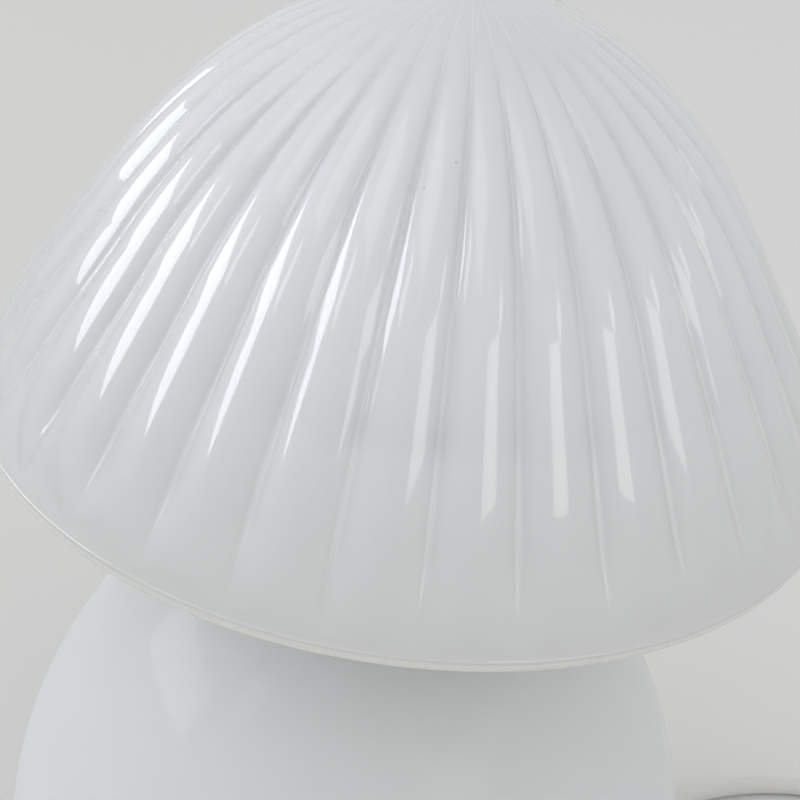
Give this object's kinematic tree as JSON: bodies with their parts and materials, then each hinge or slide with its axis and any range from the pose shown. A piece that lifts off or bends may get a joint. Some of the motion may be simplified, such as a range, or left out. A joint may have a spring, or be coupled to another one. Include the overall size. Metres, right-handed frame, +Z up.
{
  "type": "mushroom table lamp",
  "caption": "Table lamp shaped like a mushroom: ribbed opal-glass cap over a smooth egg-shaped opal-glass body, with a small screw bulb inside and a switched lead.",
  "frame": {"origin": "on the table under the middle of the lamp, on the axis of the shade and the body", "axes": "+Z up along the lamp's axis; the cord leaves the body towards +X +Y"},
  "size_m": [0.2916, 0.2613, 0.2893],
  "materials": {
    "opal_glass_shade": "glossy opal glass cased in clear glass",
    "opal_glass_body": "glossy opal glass",
    "silicone_clear": "satin silicone",
    "white_enamel": "satin powder coat",
    "zinc_steel": "bright zinc",
    "holder_plastic": "moulded thermoplastic",
    "brass": "bright brass",
    "copper_cores": "wire insulation",
    "nickel": "nickel plated",
    "bulb_black": "glazed black",
    "bulb_white": "moulded white",
    "bulb_globe": "frosted diffuser",
    "board_aluminium": "coated aluminium",
    "led_phosphor": "phosphor",
    "circuit_board": "solder mask",
    "cord_sheath": "smooth pale sheath",
    "cord_rubber": "soft moulded",
    "switch_plastic": "moulded white",
    "rocker_plastic": "polished white",
    "steel_pin": "plain steel",
    "plug_plastic": "moulded white",
    "plug_metal": "nickel plated",
    "plug_sleeve": "sleeve"
  },
  "bodies": {
    "lamp": {"body_glass": "opal_glass_body", "carrier_pads": "silicone_clear", "centre_contact": "brass", "clamp_bar": "zinc_steel", "clamp_bar_pads": "silicone_clear", "cord_coil": "cord_sheath", "cord_grommet": "cord_rubber", "cord_to_coil": "cord_sheath", "cord_to_plug": "cord_sheath", "cord_to_switch": "cord_sheath", "foot_pads": "silicone_clear", "holder_base": "holder_plastic", "holder_insert": "holder_plastic", "holder_skirt": "holder_plastic", "inner_lead": "cord_sheath", "lower_nut": "zinc_steel", "lower_washer": "zinc_steel", "neck_cap": "white_enamel", "neck_gasket": "silicone_clear", "nipple": "zinc_steel", "plug_body": "plug_plastic", "plug_pin_sleeves": "plug_sleeve", "plug_pins": "plug_metal", "rocker_pin": "steel_pin", "screw_shell": "brass", "shade_carrier": "white_enamel", "side_contact": "brass", "strain_relief": "cord_rubber", "switch_base": "switch_plastic", "switch_contacts": "brass", "switch_cover": "switch_plastic", "switch_screws": "steel_pin", "terminal_screws": "brass", "upper_nut": "zinc_steel", "upper_washer": "zinc_steel", "wire_cores": "copper_cores"},
    "shade": {"shade_glass": "opal_glass_shade"},
    "bulb": {"bulb_contact": "nickel", "bulb_insulator": "bulb_black", "bulb_cap": "nickel", "bulb_collar": "bulb_white", "bulb_globe": "bulb_globe", "led_board": "board_aluminium", "led_chips": "led_phosphor", "bulb_driver": "circuit_board"},
    "rocker": {"switch_rocker": "rocker_plastic", "rocker_bridge": "brass"}
  },
  "joints": [
    {"name": "shade_lift", "type": "slide", "parent": "lamp", "child": "shade", "axis": [0, 0, 1], "range_m": [0, 0.12]},
    {"name": "bulb_turn", "type": "hinge", "parent": "lamp", "child": "bulb", "pos_m": [0, 0, 0.2], "axis": [0, 0, 1], "range_deg": [0, 1440]},
    {"name": "rocker_tilt", "type": "hinge", "parent": "lamp", "child": "rocker", "pos_m": [0.179, -0.018, 0.013], "axis": [1, 0, 0], "range_deg": [0, 14]}
  ]
}
